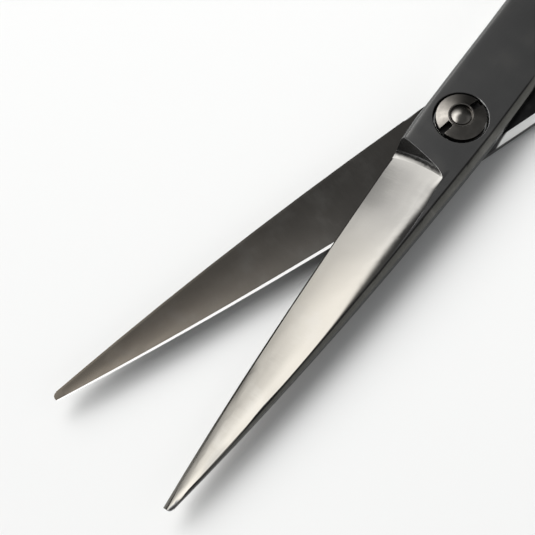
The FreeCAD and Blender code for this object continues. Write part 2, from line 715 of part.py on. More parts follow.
def bumper_pad():
    """Soft stop, pushed on its pin, that the thumb member's stem meets when the shears close."""
    length = 2 * CLOSED_GAP + BUMPER_SEAT - BUMPER_CONTACT
    profile = [(0, 0), (BUMPER_R, 0), (BUMPER_R, 0.9), (BUMPER_R - 0.3, 1.2)]
    profile += [(BUMPER_R - 0.3, length - 0.4), (BUMPER_R - 0.7, length), (0, length)]
    pad = turned(profile)
    pad = pad.cut(Part.makeCylinder(BUMPER_PIN_R, BUMPER_PIN_IN_PAD, PIVOT, Z_AXIS))
    pad.rotate(PIVOT, X_AXIS, -90)
    pad.translate(V(BUMPER_X, -CLOSED_GAP - BUMPER_SEAT, 0))
    return in_finger(pad)


# ---------------------------------------------------------------- one file for each piece
PIECES = {
    "finger_blade": finger_blade,
    "thumb_blade": thumb_blade,
    "pivot_stud": pivot_stud,
    "glide_washer": glide_washer,
    "pivot_bush": pivot_bush,
    "lower_race": lambda: race(BUSH_TOP),
    "bearing_balls": bearing_balls,
    "ball_cage": ball_cage,
    "upper_race": lambda: race(UPPER_RACE_BOTTOM),
    "wave_spring": wave_spring,
    "click_washer": click_washer,
    "tension_nut": tension_nut,
    "finger_ring_insert": lambda: in_finger(ring_insert(FINGER_RING_X)),
    "thumb_ring_insert": lambda: in_thumb(ring_insert(THUMB_RING_X)),
    "finger_rest": finger_rest,
    "bumper_pin": bumper_pin,
    "bumper_pad": bumper_pad,
}

if __name__ == "__main__":
    os.makedirs("parts", exist_ok=True)
    for name, build in PIECES.items():
        shape = build()
        solids = shape.Solids
        if not shape.isValid() or not solids:
            raise ValueError(f"{name} isn't a valid solid")
        piece = solids[0] if len(solids) == 1 else Part.makeCompound(solids)
        piece.translate(V(0, 0, THICKNESS))
        piece.exportStep(f"parts/{name}.step")
        print(f"{name}: {len(solids)} solid, {shape.Volume:.2f} mm3")
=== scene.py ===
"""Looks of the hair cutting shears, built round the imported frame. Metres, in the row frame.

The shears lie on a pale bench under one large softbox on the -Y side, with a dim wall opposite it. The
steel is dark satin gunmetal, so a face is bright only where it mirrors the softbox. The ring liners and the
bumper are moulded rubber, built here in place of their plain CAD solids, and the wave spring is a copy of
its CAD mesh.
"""
import math

import bmesh
import bpy
from mathutils import Matrix, Vector


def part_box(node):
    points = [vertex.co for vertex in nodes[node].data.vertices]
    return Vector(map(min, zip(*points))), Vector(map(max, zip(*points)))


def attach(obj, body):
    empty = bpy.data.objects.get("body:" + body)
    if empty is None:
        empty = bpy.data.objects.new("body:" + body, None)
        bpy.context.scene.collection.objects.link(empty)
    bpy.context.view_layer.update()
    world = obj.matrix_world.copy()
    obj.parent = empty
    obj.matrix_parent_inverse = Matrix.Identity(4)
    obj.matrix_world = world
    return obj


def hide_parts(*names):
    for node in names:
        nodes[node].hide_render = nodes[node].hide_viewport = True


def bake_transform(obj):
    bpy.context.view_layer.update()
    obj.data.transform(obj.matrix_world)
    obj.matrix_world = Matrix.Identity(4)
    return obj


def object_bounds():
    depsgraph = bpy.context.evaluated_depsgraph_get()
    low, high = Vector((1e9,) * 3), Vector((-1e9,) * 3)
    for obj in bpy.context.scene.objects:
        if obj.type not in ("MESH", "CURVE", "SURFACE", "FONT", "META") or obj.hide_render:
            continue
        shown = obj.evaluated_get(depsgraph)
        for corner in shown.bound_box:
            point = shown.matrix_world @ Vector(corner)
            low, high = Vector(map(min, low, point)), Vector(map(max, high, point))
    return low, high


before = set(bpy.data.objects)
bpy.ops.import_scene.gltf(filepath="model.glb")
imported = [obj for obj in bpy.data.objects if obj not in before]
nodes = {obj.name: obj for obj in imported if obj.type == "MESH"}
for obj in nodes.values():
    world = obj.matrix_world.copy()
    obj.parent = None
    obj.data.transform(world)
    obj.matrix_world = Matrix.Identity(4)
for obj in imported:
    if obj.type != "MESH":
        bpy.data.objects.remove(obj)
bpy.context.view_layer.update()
scene = bpy.context.scene
MM = 0.001

# ---------------------------------------------------------------- driving values
VIEW_AZIMUTH = 135.22
VIEW_ELEVATION = 67.64
VIEW_ROLL = -0.27
VIEW_DISTANCE = 250 * MM
VIEW_TARGET = Vector((36.32, -4.29, 3.4)) * MM
SENSOR = 36.0
LENS = 115.84

REST_OPENING = 18.14        # degrees between the blades at rest
RIDE_HEIGHT = 3.4           # mm from the bench to the plane between the blades
REACH = 72.5                # mm from the pivot to the tips

SOFTBOX_RADIANCE = 6.6
SOFTBOX_LEFT = (-62.0, 8.0)         # degrees round from -Y towards +X, where its glow starts and is full
SOFTBOX_RIGHT = (88.0, 70.0)
SOFTBOX_BOTTOM = (10.0, 54.0)       # degrees above the bench
SOFTBOX_TOP = (74.0, 48.0)
ROOM_RADIANCE = (0.02, 0.26)        # of the dark room, level with the bench and overhead
WALL_RADIANCE = 0.42                # of the dim wall behind, opposite the softbox
WALL_SIDES = (95.0, 130.0)          # degrees from -Y, either way, where its light starts and is full
WALL_BOTTOM = (2.0, 14.0)
WALL_TOP = (56.0, 40.0)
BENCH_WHITE = 0.850                 # share of the light that the bench gives back
BENCH_FALL = 0.45                   # how fast that falls away from the softbox, per metre: painted light falloff
BENCH_LEAST = 0.80                  # its least and most, far from the shears
BENCH_MOST = 0.87


# ---------------------------------------------------------------- shader arithmetic
class Field:
    """A shader value with ordinary arithmetic, so that a formula in a material reads like one."""

    def __init__(self, tree, socket):
        self.tree = tree
        self.socket = socket

    def math(self, operation, *others):
        node = self.tree.nodes.new("ShaderNodeMath")
        node.operation = operation
        for index, value in enumerate((self,) + others):
            if isinstance(value, Field):
                self.tree.links.new(value.socket, node.inputs[index])
            else:
                node.inputs[index].default_value = value
        return Field(self.tree, node.outputs[0])

    def __add__(self, other):
        return self.math("ADD", other)

    __radd__ = __add__

    def __sub__(self, other):
        return self.math("SUBTRACT", other)

    def __rsub__(self, other):
        return (self * -1) + other

    def __mul__(self, other):
        return self.math("MULTIPLY", other)

    __rmul__ = __mul__

    def __truediv__(self, other):
        return self.math("DIVIDE", other)

    def size(self):
        return self.math("ABSOLUTE")

    def step(self, low, high):
        """0 below low, 1 above high, smooth between. With low above high it falls instead."""
        node = self.tree.nodes.new("ShaderNodeMapRange")
        node.interpolation_type = "SMOOTHSTEP"
        rising = low < high
        self.tree.links.new(self.socket, node.inputs["Value"])
        node.inputs["From Min"].default_value = min(low, high)
        node.inputs["From Max"].default_value = max(low, high)
        node.inputs["To Min"].default_value = 0.0 if rising else 1.0
        node.inputs["To Max"].default_value = 1.0 if rising else 0.0
        return Field(self.tree, node.outputs["Result"])

    def between(self, low, high):
        """This share, 0 to 1, turned into a value from low to high."""
        return self * (high - low) + low


class Shader:
    """A material's node tree, with the few nodes that the finishes need."""

    def __init__(self, tree):
        self.tree = tree
        self.nodes = tree.nodes
        self.links = tree.links

    def field(self, socket):
        return Field(self.tree, socket)

    def parts(self, socket):
        node = self.nodes.new("ShaderNodeSeparateXYZ")
        self.links.new(socket, node.inputs[0])
        return [self.field(out) for out in node.outputs]

    def vector(self, x, y, z):
        node = self.nodes.new("ShaderNodeCombineXYZ")
        for index, value in enumerate((x, y, z)):
            self.put(value, node.inputs[index])
        return node.outputs[0]

    def put(self, value, socket):
        """Links a field, or sets a plain value."""
        if isinstance(value, Field):
            self.links.new(value.socket, socket)
        elif isinstance(value, bpy.types.NodeSocket):
            self.links.new(value, socket)
        else:
            socket.default_value = value

    def noise(self, vector, scale, detail=2.0, roughness=0.5):
        """Smooth random field from 0 to 1, most of it near 0.5."""
        node = self.nodes.new("ShaderNodeTexNoise")
        self.links.new(vector, node.inputs["Vector"])
        node.inputs["Scale"].default_value = scale
        node.inputs["Detail"].default_value = detail
        node.inputs["Roughness"].default_value = roughness
        return self.field(node.outputs["Fac"])

    def blend(self, share, first, second):
        """Colour that goes from first to second as share goes from 0 to 1."""
        node = self.nodes.new("ShaderNodeMix")
        node.data_type = "RGBA"
        self.put(share, node.inputs["Factor"])
        for value, name in ((first, "A_Color"), (second, "B_Color")):
            socket = [s for s in node.inputs if s.identifier == name][0]
            self.put((*value, 1.0) if isinstance(value, tuple) else value, socket)
        return [s for s in node.outputs if s.identifier == "Result_Color"][0]

    def scaled(self, colour, factor):
        """A colour made lighter or darker by a factor."""
        node = self.nodes.new("ShaderNodeVectorMath")
        node.operation = "SCALE"
        self.links.new(colour, node.inputs[0])
        self.put(factor, node.inputs["Scale"])
        return node.outputs[0]

    def turn(self, socket, degrees, rolled):
        """A vector in a member's own frame, from the same vector in the row frame."""
        node = self.nodes.new("ShaderNodeVectorRotate")
        node.rotation_type = "Z_AXIS"
        self.links.new(socket, node.inputs["Vector"])
        node.inputs["Angle"].default_value = math.radians(degrees)
        x, y, z = self.parts(node.outputs[0])
        return (x, y * -1, z * -1) if rolled else (x, y, z)

    def bump(self, height, distance, normal=None):
        """Normal of a surface raised by height (0 to 1) times distance in metres."""
        node = self.nodes.new("ShaderNodeBump")
        node.inputs["Distance"].default_value = distance
        self.put(height, node.inputs["Height"])
        if normal is not None:
            self.links.new(normal, node.inputs["Normal"])
        return node.outputs[0]

    def worn_edges(self, radius):
        """Normal with every sharp edge eased to this radius in metres."""
        node = self.nodes.new("ShaderNodeBevel")
        node.samples = 8
        self.put(radius, node.inputs["Radius"])
        return node.outputs[0]


def material(name):
    made = bpy.data.materials.new(name)
    made.use_nodes = True
    shader = Shader(made.node_tree)
    surface = [n for n in shader.nodes if n.type == "BSDF_PRINCIPLED"][0]
    place = shader.nodes.new("ShaderNodeTexCoord").outputs["Object"]
    return made, shader, surface, place


def metal(shader, surface, colour, roughness, normal):
    surface.inputs["Metallic"].default_value = 1.0
    shader.put(colour, surface.inputs["Base Color"])
    shader.put(roughness, surface.inputs["Roughness"])
    shader.put(normal, surface.inputs["Normal"])


# ---------------------------------------------------------------- outline of a member, in mm, as in the CAD
HEEL_HALF = 5.72            # centre line to cutting edge, at the pivot
SPINE_HALF = 5.95           # centre line to spine, at the pivot
TIP_HALF = 0.63             # centre line to either edge, at the tip
EDGE_STRAIGHT = 0.66        # share of the cutting edge's taper that is straight; the rest goes as the cube
SPINE_STRAIGHT = 0.37       # the same for the spine, whose rest goes as this power
SPINE_POWER = 2.18
LEVEL_END = 12.0            # the outer face stays level up to here
THICKNESS = 3.4
THICKNESS_LOSS = 3.04       # size of the outer face's fall, and how slowly the fall starts
SLOW_START = 0.07
CHAMFER_SHARE = 0.24        # width of the spine chamfer, for each mm of thickness
STRIP = 0.10                # flat between the bevel and the spine chamfer
STRIP_TIP = 0.02            # the same at the tip
STRIP_HEEL = 1.2            # extra width of that flat next to the plunge
STRIP_FADE = 5.5            # length over which the extra width fades
HONE_WIDTH = 0.50           # honed line along the cutting edge
HONE_WIDTH_TIP = 0.26


def outline(x):
    """A member's lines at the place x along it.

    In order: share of the reach, share of the sloping part, distance from the centre line to the cutting
    edge and to the spine, thickness, and distance from the centre line to the top of the bevel.
    """
    ahead = (x / REACH).math("MAXIMUM", 0.0)
    taper = HEEL_HALF - TIP_HALF
    straight = ahead * -EDGE_STRAIGHT * taper
    curved = ahead * ahead * ahead * (1 - EDGE_STRAIGHT) * taper
    edge = straight - curved + HEEL_HALF
    past = (x - LEVEL_END).math("MAXIMUM", 0.0) / (REACH - LEVEL_END)
    thickness = past * past / (past + SLOW_START) * -THICKNESS_LOSS + THICKNESS
    taper = SPINE_HALF - TIP_HALF
    straight = ahead * -SPINE_STRAIGHT * taper
    curved = ahead.math("POWER", SPINE_POWER) * (1 - SPINE_STRAIGHT) * taper
    spine = straight - curved + SPINE_HALF
    strip = (x.math("MAXIMUM", LEVEL_END) * -1 + LEVEL_END) / STRIP_FADE
    strip = strip.math("EXPONENT") * STRIP_HEEL + STRIP - ahead * ahead * (STRIP - STRIP_TIP)
    bevel_top = spine - thickness * CHAMFER_SHARE - strip
    return ahead, past, edge, spine, thickness, bevel_top


# ---------------------------------------------------------------- steel of the two members
GUNMETAL = (0.150, 0.150, 0.149)
INNER_HEEL = (0.096, 0.091, 0.084)          # inner face near the pivot, and towards the tip
INNER_TIP = (0.166, 0.146, 0.121)
INNER_SHADE_BLACK = (0.030, 0.030, 0.031)        # painted shade: inner face behind the pivot, where the members overlap
CHAMFER_OLIVE = (0.071, 0.070, 0.064)       # chamfer along the spine
EDGE_SHADE_BLACK = (0.020, 0.020, 0.019)        # painted shade and dark reflection on corners, flanks and the counterbore wall
GROUND_HEEL = (0.176, 0.172, 0.164)         # ground bevel next to the plunge, and towards the tip
GROUND_TIP = (0.186, 0.177, 0.160)
STAIN = (0.20, 0.195, 0.185)
BARE_STEEL = (0.86, 0.86, 0.85)

# Fades by the way a face looks, from -1 towards the other member to 1 outwards: (gone, full).
INNER_FACING = (-0.90, -0.97)
BEVEL_NOT_LEVEL = (0.992, 0.980)
BEVEL_NOT_STEEP = (0.55, 0.70)
OUTER_FACING = (0.5, 0.6)
CHAMFER_NOT_STEEP = (0.05, 0.15)
CHAMFER_NOT_LEVEL = (0.80, 0.70)
LAPPED_NOT_STEEP = (-0.20, -0.30)
LAPPED_NOT_LEVEL = (-0.75, -0.65)
CUT_FACING = (-0.08, -0.18)
CORNER_FACING = (0.4, 0.5)
FLANK_NOT_LEVEL = (0.80, 0.62)
FLANK_NOT_INNER = (-0.2, 0.0)
SPINE_NOT_OUTER = (0.22, 0.08)
SPINE_NOT_INNER = (-0.5, -0.3)

# Fades along a member, in mm ahead of the pivot: (gone, full).
BEVEL_START = (7.8, 8.8)
OUTER_START = (8.0, 9.5)
HONE_START = (6.3, 6.9)
BLADE_START = (6.5, 8.0)
SHANK_FRONT = (7.8, 7.4)
LIP_BACK = (-30.0, -24.0)
FLANK_FRONT = (7.6, 7.0)
CUT_FRONT = (4.0, 2.0)
BLACK_INNER = (-2.0, -5.5)
CORNER_BACK = (-14.0, -10.0)
CORNER_TIP = (73.0, 66.0)
SPINE_BACK = (-26.0, -20.0)
HEEL_RISE = (9.5, 12.5)
INNER_WARMTH = (15.0, 72.0)
GROUND_WARMTH = (15.0, 34.0)

NEAR_SPINE = (1.4, 1.1)                     # fade by the distance from the spine, in mm
LAPPED_SIDE = (-3.0, -4.0)                  # the bare band lies beyond this, on the edge side
LAPPED_CORNER = 5.8                         # its outer corner, across and along the member
LAPPED_END = 2.3
LAPPED_SLANT = 3.1                          # how far its end slants back, for each mm inwards; the slant follows the other member's shadow on the band, painted shade
BORE_WALL = (4.22, 4.16)                    # fades by radius and height round the counterbore
BORE_MOUTH = (3.30, 3.22)
PLUNGE_CORNER = (9.4, 3.44)                 # where the bevel's top meets the plunge wall
PLUNGE_AWAY = (0.943, 0.33)                 # direction away from that wall
PLUNGE_ROUNDING = 1.2                       # radius of the painted dark patch that stands in for that corner's rounding, a painted reflection of the dark room
PLUNGE_FADE = (1.12, 1.34)
PLUNGE_REACH = (12.5, 11.5)

BARE_ROUGHNESS = 0.55
SHADE_SHARE = 0.8                           # how strongly that painted shade covers the steel
# how strongly the painted dark patch at the plunge corner covers the steel
PLUNGE_SHARE = 0.85
EDGE_ROUNDING = 1.7                         # width of the rounding along the shank's edge, in mm
LIP_WIDTH = 1.0                             # and of the lip at its very edge

# Apparent heights in mm, which the bump adds to the surface.
BRUSH_DEPTH = 0.0007
GRIT_DEPTH = 0.0003
EDGE_DROP = 0.030
LIP_DROP = 0.075
SAG_DROP = 0.092                            # for each mm of the bevel's width
EASE_DROP = 0.15                            # for each mm of the easing's width
RUN_OUT_RISE = 0.20


def member_steel(name, degrees, rolled):
    """Satin gunmetal, finely brushed along the shank and across the blade, with the honed line left bare."""
    made, shader, surface, place = material(name)
    scale = shader.nodes.new("ShaderNodeVectorMath")
    scale.operation = "MULTIPLY_ADD"
    shader.links.new(place, scale.inputs[0])
    scale.inputs[1].default_value = (1 / MM, 1 / MM, 1 / MM)
    scale.inputs[2].default_value = (0, 0, -RIDE_HEIGHT)
    x, y, z = shader.turn(scale.outputs[0], degrees, rolled)
    surface_normal = shader.nodes.new("ShaderNodeNewGeometry").outputs["Normal"]
    _, _, facing = shader.turn(surface_normal, degrees, rolled)

    ahead, past, edge, spine, thickness, bevel_top = outline(x)
    from_edge = y + edge
    from_spine = spine - y
    from_chamfer = from_spine - thickness * CHAMFER_SHARE
    width = bevel_top + edge
    share = (from_edge / width).math("MAXIMUM", 0.0)

    # The faces.
    inner = facing.step(*INNER_FACING)
    bevel = x.step(*BEVEL_START) * facing.step(*BEVEL_NOT_LEVEL) * facing.step(*BEVEL_NOT_STEEP)
    outer = x.step(*OUTER_START) * facing.step(*OUTER_FACING)
    chamfer = facing.step(*CHAMFER_NOT_STEEP) * facing.step(*CHAMFER_NOT_LEVEL) * from_spine.step(*NEAR_SPINE)
    lapped = facing.step(*LAPPED_NOT_STEEP) * facing.step(*LAPPED_NOT_LEVEL) * y.step(*LAPPED_SIDE)
    # Painted shade: the bare band ends along a slant where the other member's shadow falls on it.
    lapped = lapped * (x + (y + LAPPED_CORNER) * LAPPED_SLANT + LAPPED_END).step(0.4, -0.4)
    hone = ahead * ahead * (HONE_WIDTH_TIP - HONE_WIDTH) + HONE_WIDTH
    honed = (from_edge - hone).step(0.02, -0.02) * inner * x.step(*HONE_START)

    # Brushing, stains and grit.
    across = shader.vector(x * 9.0, y * 0.35, z * 0.5)
    along = shader.vector(x * 0.30, y * 9.0, z * 9.0)
    blade = x.step(*BLADE_START)
    brush_across = shader.noise(across, 1.0, 4.0, 0.65)
    brush_along = shader.noise(along, 1.0, 4.0, 0.65)
    brush = brush_across * blade + brush_along * (1 - blade)
    spot = shader.noise(shader.vector(x, y, z), 0.22, 3.0)
    grit = shader.noise(shader.vector(x, y, z), 14.0, 2.0)

    # Tone of the inner face, which brightens towards the tip and most along the spine: painted shade and
    # reflection, darkest near the pivot where the members overlap.
    over = from_edge / (spine + edge)
    tipward = ((x - 28.0) / 42.0).math("MAXIMUM", 0.0)
    edge_tone = x.step(18.0, 30.0).between(0.94, 1.25)
    spine_tone = tipward.between(0.86, 1.62)
    inner_tone = edge_tone * (1 - over) + spine_tone * over
    inner_colour = shader.blend(x.step(*INNER_WARMTH), INNER_HEEL, INNER_TIP)
    inner_colour = shader.scaled(inner_colour, inner_tone)
    # Painted shade: behind the pivot the inner face goes near black, as under the other member.
    inner_colour = shader.blend(x.step(*BLACK_INNER), inner_colour, INNER_SHADE_BLACK)
    coated = shader.blend(inner, GUNMETAL, inner_colour)
    # Painted shade too: every face looking towards the other member, behind 2 to 4 mm, goes near black.
    coated = shader.blend(facing.step(*CUT_FACING) * x.step(*CUT_FRONT), coated, INNER_SHADE_BLACK)
    coated = shader.blend(chamfer, coated, CHAMFER_OLIVE)

    # Tone of the ground bevel, painted reflection: darker low and high near the heel, and in the middle
    # further on, where a rounder bevel would mirror the dark room, and a little lighter in its upper part
    # next to the plunge.
    ground = shader.blend(x.step(*GROUND_WARMTH), GROUND_HEEL, GROUND_TIP)
    low_share = (1 - share / 0.62).math("MAXIMUM", 0.0)
    high_share = ((share - 0.80) / 0.20).math("MAXIMUM", 0.0).math("MINIMUM", 1.0)
    middle_share = share.step(0.15, 0.40) * share.step(0.85, 0.55)
    bevel_reflection_tone = 1 - low_share * x.step(*HEEL_RISE) * x.step(22.0, 17.0) * 0.45
    bevel_reflection_tone = bevel_reflection_tone - high_share * x.step(*HEEL_RISE) * x.step(30.0, 18.0) * 0.50
    bevel_reflection_tone = bevel_reflection_tone + share.step(0.4, 0.7) * x.step(12.5, 10.5) * 0.12
    ground = shader.scaled(ground, bevel_reflection_tone - middle_share * x.step(36.0, 50.0) * 0.25)
    toned = shader.blend(bevel, coated, ground)
    toned = shader.blend(spot.step(0.45, 0.75) * 0.3 + brush.between(-0.3, 0.3), toned, STAIN)

    # Painted dark reflection and shade: a dark line where the outer face meets the spine chamfer, mirroring
    # the dark room, and near-black flanks of the shank and counterbore wall, in shade.
    corner = (from_chamfer - 0.03).size().step(0.20, 0.08) * facing.step(*CORNER_FACING)
    corner = corner * x.step(*CORNER_BACK) * x.step(*CORNER_TIP)
    # Painted shade on the shank's flank by the cutting edge.
    flank = facing.step(*FLANK_NOT_LEVEL) * facing.step(*FLANK_NOT_INNER)
    flank = flank * from_edge.step(1.0, 0.7) * x.step(*FLANK_FRONT)
    # Painted dark reflection: a patch on the bevel, rounding off the corner where it meets the plunge wall,
    # goes near black.
    away_x, away_y = PLUNGE_AWAY
    corner_x, corner_y = PLUNGE_CORNER
    from_wall = (x - corner_x) * away_x - (y - corner_y) * away_y
    short_of = (from_wall * -1 + PLUNGE_ROUNDING).math("MAXIMUM", 0.0)
    high_of = (y - (corner_y - PLUNGE_ROUNDING)).math("MAXIMUM", 0.0)
    plunge_corner = (short_of * short_of + high_of * high_of).math("SQRT").step(*PLUNGE_FADE)
    plunge_corner = plunge_corner * bevel * x.step(*PLUNGE_REACH)
    # Painted shade on the counterbore's wall round the nut.
    bore = (x * x + y * y).math("SQRT").step(*BORE_WALL) * z.step(*BORE_MOUTH)
    # Painted shade on the flank along the spine.
    spine_flank = facing.step(*SPINE_NOT_OUTER) * facing.step(*SPINE_NOT_INNER)
    spine_flank = spine_flank * from_spine.step(*NEAR_SPINE) * x.step(*SPINE_BACK)
    black = (corner + flank + bore + spine_flank).math("MINIMUM", 1.0) * SHADE_SHARE
    toned = shader.blend(black, toned, EDGE_SHADE_BLACK)
    toned = shader.blend(plunge_corner * PLUNGE_SHARE, toned, EDGE_SHADE_BLACK)

    bare = honed + lapped
    colour = shader.blend(bare, toned, BARE_STEEL)
    rough = spot.between(0.16, 0.24) + brush.between(-0.02, 0.02)
    rough = rough * (1 - bare) + bare * BARE_ROUGHNESS

    # Relief that the CAD doesn't have, as bump only: it doesn't show in the exported meshes.
    shank_edge = (1 - from_edge / EDGE_ROUNDING).math("MAXIMUM", 0.0) * x.step(*SHANK_FRONT)
    shank_lip = (1 - from_edge / LIP_WIDTH).math("MAXIMUM", 0.0)
    shank_lip = shank_lip * x.step(*SHANK_FRONT) * x.step(*LIP_BACK)
    low_part = (1 - share / 0.85).math("MAXIMUM", 0.0)
    sag = low_part * low_part * width * ahead * ahead * SAG_DROP * outer
    blend_width = ((x - 22.0) / 12.0).math("POWER", 2.0) * -1
    blend_width = blend_width.math("EXPONENT") * 1.7 + 0.05
    high_part = (1 - (bevel_top - y) / (blend_width * 1.35)).math("MAXIMUM", 0.0).math("MINIMUM", 1.0)
    ease = high_part * high_part * high_part * blend_width * EASE_DROP * outer
    run_out = ((14.0 - x) / 4.8).math("MAXIMUM", 0.0) * bevel
    height = brush * BRUSH_DEPTH + grit * GRIT_DEPTH - shank_edge * shank_edge * EDGE_DROP - sag - ease
    height = height - shank_lip * shank_lip * LIP_DROP
    height = height + run_out * run_out * RUN_OUT_RISE
    along_spine = from_chamfer.size().step(0.9, 0.5) * outer
    radius = along_spine.between(0.07, 0.20) * (1 - past * past * 0.7)
    normal = shader.bump(height, MM, shader.worn_edges(radius * MM))
    metal(shader, surface, colour, rough, normal)
    return made


# ---------------------------------------------------------------- other metals
# Painted shade for the nut's slots and recesses.
SLOT_SHADE_BLACK = (0.022, 0.022, 0.022)


def turned_steel(name, colour, low_rough, high_rough, shade_below=None):
    """Steel turned on a lathe: fine rings about the pivot axis, eased edges and small stains.

    Below the given height, in mm, milled slots and recesses are painted matt black as shade.
    """
    made, shader, surface, place = material(name)
    x, y, z = shader.parts(place)
    x, y, z = x / MM, y / MM, z / MM
    radius = (x * x + y * y).math("SQRT")
    rings = shader.noise(shader.vector(radius * 14.0, z * 14.0, 0.0), 1.0, 3.0, 0.7)
    stain = shader.noise(shader.vector(x, y, z), 0.9, 3.0)
    tone = tuple(0.78 * c for c in colour)
    painted = shader.blend(stain.step(0.35, 0.7), colour, tone)
    rough = stain.between(low_rough, high_rough) + rings.between(-0.04, 0.04)
    if shade_below is not None:
        # Painted shade: below that height the steel goes near black and rougher.
        slot_shade = z.step(shade_below + 0.05, shade_below - 0.05)
        painted = shader.blend(slot_shade, painted, SLOT_SHADE_BLACK)
        rough = rough * (1 - slot_shade) + slot_shade * 0.5
    normal = shader.bump(rings, 0.002 * MM, shader.worn_edges(0.04 * MM))
    metal(shader, surface, painted, rough, normal)
    return made


def formed_metal(name, colour, low_rough, high_rough, grain, depth):
    """Sheet, wire or cast metal: random grain, stains and eased edges."""
    made, shader, surface, place = material(name)
    x, y, z = shader.parts(place)
    spot = shader.vector(x / MM, y / MM, z / MM)
    grains = shader.noise(spot, grain, 4.0, 0.6)
    stain = shader.noise(spot, 0.35, 3.0)
    tone = tuple(0.8 * c for c in colour)
    painted = shader.blend(stain.step(0.35, 0.7), colour, tone)
    rough = stain.between(low_rough, high_rough) + grains.between(-0.03, 0.03)
    normal = shader.bump(grains, depth * MM, shader.worn_edges(0.05 * MM))
    metal(shader, surface, painted, rough, normal)
    return made


# ---------------------------------------------------------------- soft and plastic finishes
def moulded(name, colour, roughness, grain, depth, sheen):
    """Moulded rubber or plastic: fine pebble grain, a faint bloom and handling marks."""
    made, shader, surface, place = material(name)
    x, y, z = shader.parts(place)
    spot = shader.vector(x / MM, y / MM, z / MM)
    grains = shader.noise(spot, grain, 3.0, 0.55)
    bloom = shader.noise(spot, 0.25, 4.0)
    dusty = tuple(c + 0.03 for c in colour)
    shader.put(shader.blend(bloom.step(0.4, 0.75), colour, dusty), surface.inputs["Base Color"])
    shader.put(bloom.between(roughness - 0.08, roughness + 0.10), surface.inputs["Roughness"])
    surface.inputs["Specular IOR Level"].default_value = 0.4
    surface.inputs["Sheen Weight"].default_value = sheen
    shader.put(shader.bump(grains, depth * MM), surface.inputs["Normal"])
    return made


# ---------------------------------------------------------------- liners, bumper and wave spring
def mesh_piece(name, grid, closed_around, finish, body):
    """A piece from rows of points: each row is a closed section, and the rows join up if closed_around."""
    mesh = bpy.data.meshes.new(name)
    builder = bmesh.new()
    rows = [[builder.verts.new(point) for point in row] for row in grid]
    count = len(rows)
    pairs = range(count) if closed_around else range(count - 1)
    for index in pairs:
        here, after = rows[index], rows[(index + 1) % count]
        for at in range(len(here)):
            beside = (at + 1) % len(here)
            builder.faces.new((here[at], after[at], after[beside], here[beside]))
    if not closed_around:
        builder.faces.new(rows[0])
        builder.faces.new(rows[-1][::-1])
    bmesh.ops.recalc_face_normals(builder, faces=builder.faces)
    for face in builder.faces:
        face.smooth = True
    builder.to_mesh(mesh)
    builder.free()
    piece = bpy.data.objects.new(name, mesh)
    scene.collection.objects.link(piece)
    mesh.materials.append(finish)
    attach(piece, body)
    return piece


LINER_BAND = 3.0 * MM       # width of a liner's band, seen from above
LINER_RIBS = 54             # moulded grip ribs round the inside
LINER_STEPS = 12            # rows of points for each rib
RIB_DEPTH = 0.16 * MM
SECTION_POINTS = 28         # points round a liner's section
SECTION_POWER = 0.55        # 1 for an oval section, towards 0 for a square one


def liner(node, body, degrees, finish):
    """Rubber liner of a finger ring: a rounded lip over each face, and grip ribs on the inside."""
    low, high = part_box(node)
    centre = (low + high) / 2
    half = (high - low) / 2
    turn = math.radians(degrees)
    c2, s2 = math.cos(turn) ** 2, math.sin(turn) ** 2
    half_length = math.sqrt((half.x ** 2 * c2 - half.y ** 2 * s2) / (c2 - s2)) - LINER_BAND / 2
    half_width = math.sqrt((half.y ** 2 * c2 - half.x ** 2 * s2) / (c2 - s2)) - LINER_BAND / 2
    place = Matrix.Translation(centre) @ Matrix.Rotation(turn, 4, "Z")
    grid = []
    steps = LINER_RIBS * LINER_STEPS
    for index in range(steps):
        angle = 2 * math.pi * index / steps
        middle = Vector((half_length * math.cos(angle), half_width * math.sin(angle), 0))
        outward = Vector((math.cos(angle) / half_length, math.sin(angle) / half_width, 0)).normalized()
        rib = 0.5 + 0.5 * math.cos(LINER_RIBS * angle)
        row = []
        for across, up, ribbed in liner_section(half.z):
            shift = across + RIB_DEPTH * (1 - rib) * ribbed
            row.append(place @ (middle + outward * shift + Vector((0, 0, up))))
        grid.append(row)
    piece = mesh_piece(node + "_rubber", grid, True, finish, body)
    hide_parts(node)


def liner_section(half_height):
    """Points round a liner's section: distance outwards, height, and how deep the ribs are cut there."""
    points = []
    for index in range(SECTION_POINTS):
        angle = 2 * math.pi * index / SECTION_POINTS
        side, up = math.cos(angle), math.sin(angle)
        across = math.copysign(abs(side) ** SECTION_POWER, side) * LINER_BAND / 2
        height = math.copysign(abs(up) ** SECTION_POWER, up) * half_height
        ribbed = max(0.0, -side) ** 2 if side < 0 else 0.0
        points.append((across, height, ribbed))
    return points


BUMPER_SHAPE = (            # share of the length from the seat, share of the flange's radius
    (0.00, 0.90), (0.00, 0.99), (0.02, 1.00), (0.20, 1.00), (0.24, 0.98), (0.26, 0.90), (0.28, 0.86),
    (0.46, 0.85), (0.48, 0.80), (0.52, 0.80), (0.54, 0.85), (0.84, 0.85), (0.92, 0.82), (0.98, 0.70),
    (1.00, 0.55), (0.99, 0.36), (0.98, 0.18),
)
BUMPER_SIDES = 40


